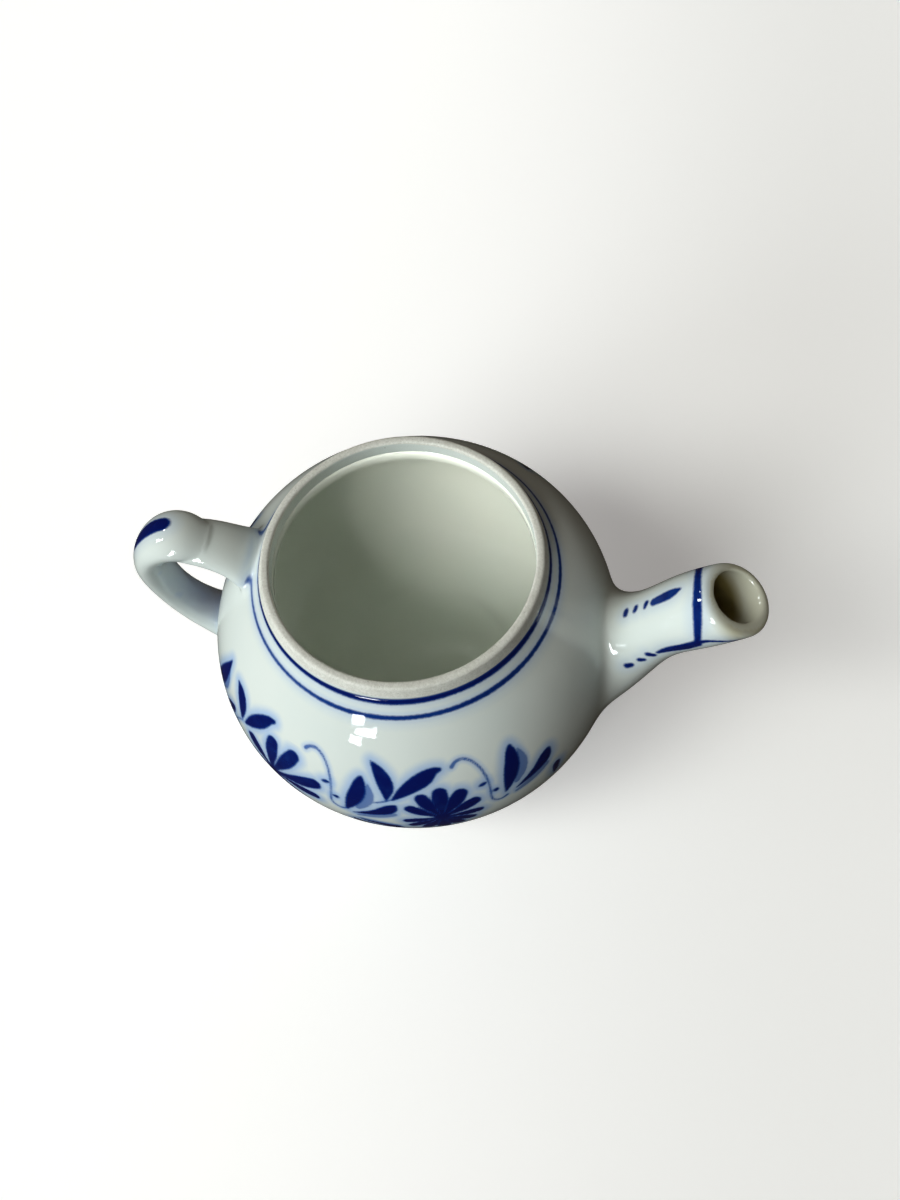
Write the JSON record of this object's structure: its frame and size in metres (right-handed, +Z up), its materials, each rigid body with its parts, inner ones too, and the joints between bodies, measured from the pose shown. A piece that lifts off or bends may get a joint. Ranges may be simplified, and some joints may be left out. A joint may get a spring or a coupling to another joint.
{
  "type": "teapot",
  "caption": "Round white porcelain teapot without its lid: collared open mouth, short upswept spout, loop handle and low foot ring, painted with blue bands and flowers.",
  "frame": {"origin": "centre of the foot ring's resting face", "axes": "+Z up the pot's turning axis and out of the mouth, +X towards the spout, -X towards the handle"},
  "size_m": [0.1947, 0.1326, 0.0965],
  "materials": {
    "glazed_porcelain": "cool white porcelain under a thick clear gloss glaze",
    "bare_rim": "rim left bare of glaze, fine grain, slightly stained",
    "bare_foot": "foot ring wiped bare of glaze, fine matt grain"
  },
  "bodies": {
    "root": {"pot_body": "glazed_porcelain", "neck_collar": "bare_rim", "foot_ring": "bare_foot", "spout": "glazed_porcelain", "spout_root": "glazed_porcelain", "handle": "glazed_porcelain", "handle_upper_root": "glazed_porcelain", "handle_lower_root": "glazed_porcelain"}
  },
  "joints": []
}
